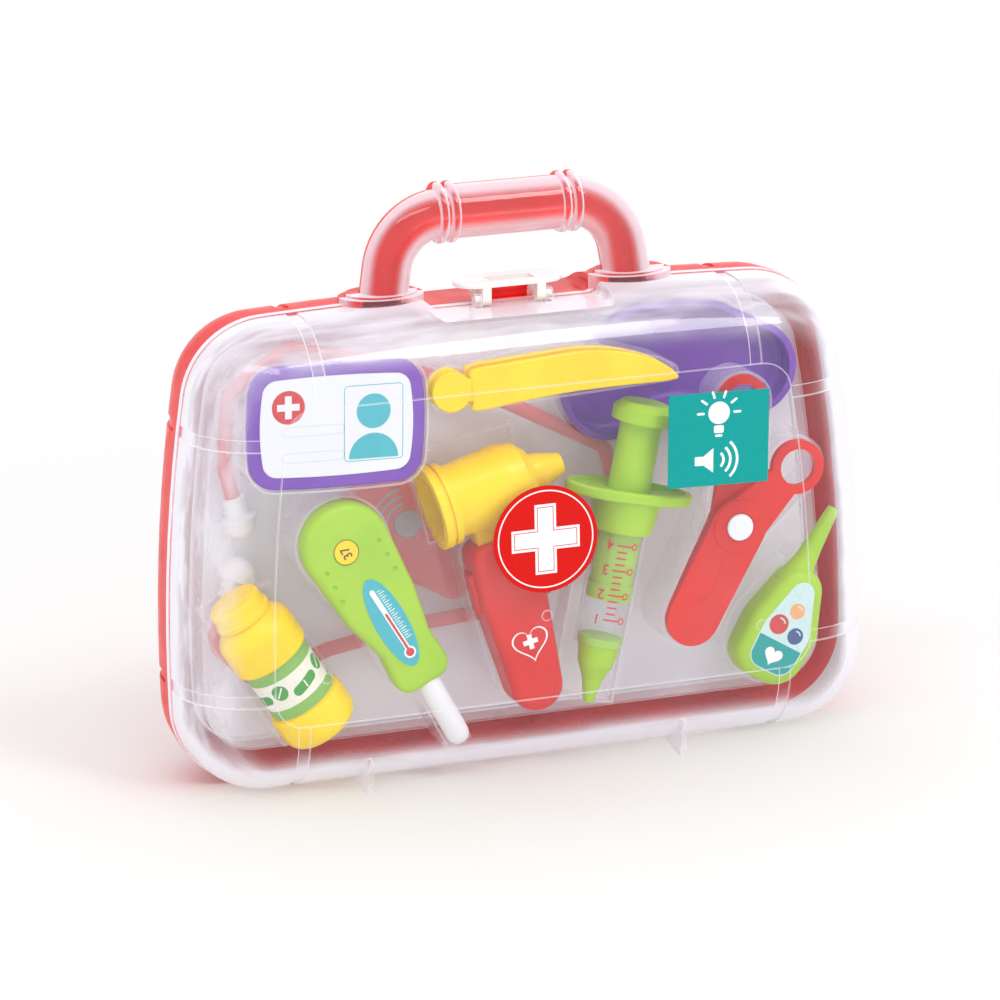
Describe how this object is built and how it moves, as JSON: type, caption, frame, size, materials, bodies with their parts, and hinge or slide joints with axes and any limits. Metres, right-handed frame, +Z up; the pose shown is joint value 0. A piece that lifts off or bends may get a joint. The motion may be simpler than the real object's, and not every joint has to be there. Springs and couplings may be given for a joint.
{
  "type": "toy doctor case",
  "caption": "Hinged two-half play case with handle and latch, a clear lid and a formed tray that holds moulded toy doctor instruments.",
  "frame": {"origin": "on the floor under the middle of the parting plane between the two halves", "axes": "+X to the right seen from the clear lid, +Y to the back shell, +Z up"},
  "size_m": [0.3176, 0.092, 0.2596],
  "materials": {
    "red_plastic": "glossy moulded red plastic",
    "clear_plastic": "clear moulded plastic",
    "tray_film": "thin clear formed sheet",
    "white_plastic": "white moulded plastic",
    "green_plastic": "light green moulded plastic",
    "yellow_plastic": "yellow moulded plastic",
    "purple_plastic": "purple moulded plastic",
    "grey_rubber": "soft grey button",
    "card": "printed card",
    "paper": "printed paper",
    "teal_sticker": "printed sticker",
    "red_sticker": "printed sticker",
    "label": "printed label",
    "steel": "bare steel",
    "black_plastic": "dark plastic"
  },
  "bodies": {
    "case_back": {"back_shell": "red_plastic", "hinge_pins": "steel", "backing_card": "card", "toy_tray": "tray_film", "badge_frame": "purple_plastic", "badge_card": "paper", "tweezers_back_arm": "yellow_plastic", "kidney_dish": "purple_plastic", "stethoscope_headset": "red_plastic", "stethoscope_eartips": "white_plastic", "stethoscope_chest_piece": "red_plastic", "stethoscope_chest_cover": "red_plastic", "stethoscope_speaker": "black_plastic", "stethoscope_cells": "steel", "otoscope_head": "yellow_plastic", "otoscope_lens": "clear_plastic", "otoscope_cone": "yellow_plastic", "otoscope_lamp": "white_plastic", "otoscope_handle": "red_plastic", "otoscope_cells": "steel", "syringe_barrel": "clear_plastic", "syringe_flange": "green_plastic", "syringe_nozzle": "green_plastic", "scissors_back_half": "red_plastic", "scissors_pivot": "white_plastic", "squeeze_bulb": "green_plastic", "bulb_label": "paper", "thermometer_body": "green_plastic", "thermometer_probe": "white_plastic", "thermometer_label": "label", "bottle_body": "yellow_plastic", "bottle_label": "paper"},
    "lid": {"front_shell": "clear_plastic", "cross_sticker": "red_sticker", "corner_sticker": "teal_sticker"},
    "latch": {"latch": "white_plastic"},
    "tweezers_front": {"tweezers_front_arm": "yellow_plastic"},
    "syringe_plunger": {"syringe_plunger": "green_plastic"},
    "scissors_front": {"scissors_front_half": "red_plastic"},
    "thermometer_dial": {"thermometer_dial": "yellow_plastic"},
    "otoscope_button": {"otoscope_button": "red_plastic"},
    "stethoscope_button": {"stethoscope_button": "grey_rubber"},
    "bottle_cap": {"bottle_cap": "yellow_plastic"}
  },
  "joints": [
    {"name": "lid_hinge", "type": "hinge", "parent": "case_back", "child": "lid", "pos_m": [0, 0, 0.002], "axis": [1, 0, 0], "range_deg": [0, 175]},
    {"name": "latch_hinge", "type": "hinge", "parent": "lid", "child": "latch", "pos_m": [0, -0.0085, 0.20815], "axis": [1, 0, 0], "range_deg": [0, 80]},
    {"name": "tweezers_squeeze", "type": "hinge", "parent": "case_back", "child": "tweezers_front", "pos_m": [-0.0362, -0.0329, 0.17455], "axis": [0, 0, 1], "range_deg": [0, 2.6], "stiffness_Nm_per_rad": 0.06},
    {"name": "plunger_slide", "type": "slide", "parent": "case_back", "child": "syringe_plunger", "axis": [0.2147, 0, 0.9767], "range_m": [-0.0172, 0]},
    {"name": "scissors_open", "type": "hinge", "parent": "case_back", "child": "scissors_front", "pos_m": [0.0949, -0.03, 0.10005], "axis": [0, 1, 0], "range_deg": [0, 14]},
    {"name": "dial_turn", "type": "hinge", "parent": "case_back", "child": "thermometer_dial", "pos_m": [-0.08728, -0.0365, 0.10978], "axis": [0, 1, 0], "continuous": true},
    {"name": "otoscope_button_press", "type": "slide", "parent": "case_back", "child": "otoscope_button", "axis": [0.9728, 0, 0.2317], "range_m": [0, 0.0014], "stiffness_N_per_m": 600},
    {"name": "stethoscope_button_press", "type": "slide", "parent": "case_back", "child": "stethoscope_button", "axis": [0, 1, 0], "range_m": [0, 0.0008], "stiffness_N_per_m": 600},
    {"name": "bottle_cap_turn", "type": "hinge", "parent": "case_back", "child": "bottle_cap", "pos_m": [-0.13072, -0.021, 0.08425], "axis": [-0.5373, 0, 0.8434], "range_deg": [0, 90]}
  ]
}
